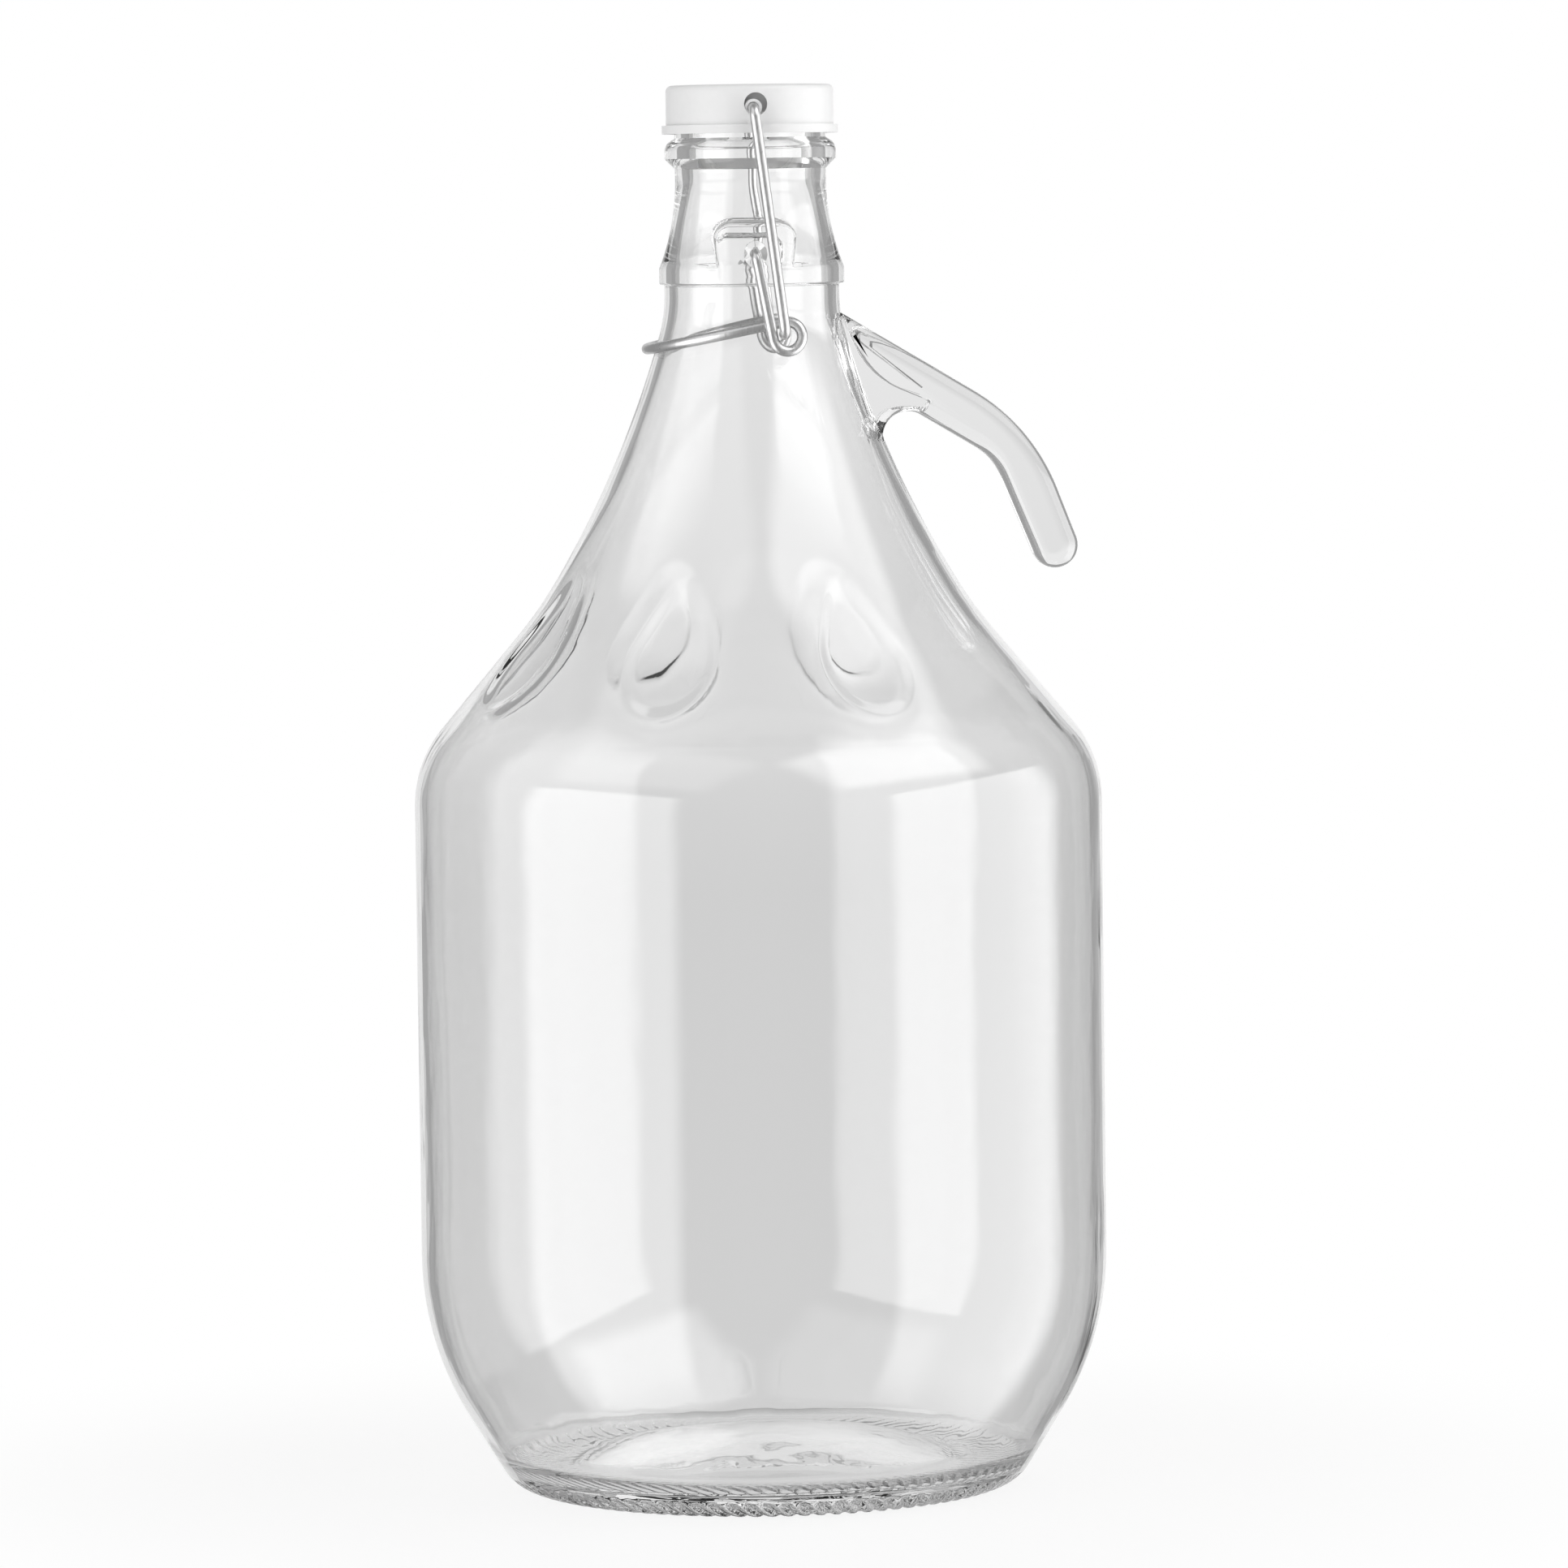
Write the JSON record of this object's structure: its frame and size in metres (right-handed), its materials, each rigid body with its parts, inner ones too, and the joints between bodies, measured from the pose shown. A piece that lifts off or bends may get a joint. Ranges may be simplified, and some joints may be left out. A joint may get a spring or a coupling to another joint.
{
  "type": "bottle",
  "caption": "Large swing-top glass bottle with conical shoulder, hooked glass handle, thumb dimples, wire lever closure and metal cap",
  "frame": {"origin": "centre of the standing ring, on the bottle's axis, in the plane that it stands on", "axes": "+Z is the bottle's axis upwards, +X points to the handle, the finger loop of the closure is towards -X, the lever's pivots lie along Y"},
  "size_m": [0.18, 0.18, 0.3671],
  "materials": {
    "glass": "gloss",
    "wire": "satin",
    "cap_metal": "satin",
    "seal": "matte"
  },
  "bodies": {
    "bottle": {"bottle": "glass"},
    "lever": {"lever": "wire"},
    "bail": {"bail": "wire"},
    "cap": {"cap": "cap_metal", "gasket": "seal"}
  },
  "joints": [
    {"name": "lever_hinge", "type": "hinge", "parent": "bottle", "child": "lever", "pos_m": [0, 0, 0.3232], "axis": [0, 1, 0], "range_deg": [0, 90], "deforming": ["gasket"]},
    {"name": "bail_hinge", "type": "hinge", "parent": "lever", "child": "bail", "pos_m": [0.0071, 0, 0.30245], "axis": [0, 1, 0], "range_deg": [-57.15, 0]},
    {"name": "cap_hinge", "type": "hinge", "parent": "bail", "child": "cap", "pos_m": [0, 0, 0.361], "axis": [0, 1, 0], "range_deg": [-32.85, 0]}
  ],
  "couplings": [
    {"joint": "bail_hinge", "follows": "lever_hinge", "ratio": -0.635},
    {"joint": "cap_hinge", "follows": "lever_hinge", "ratio": -0.365}
  ]
}
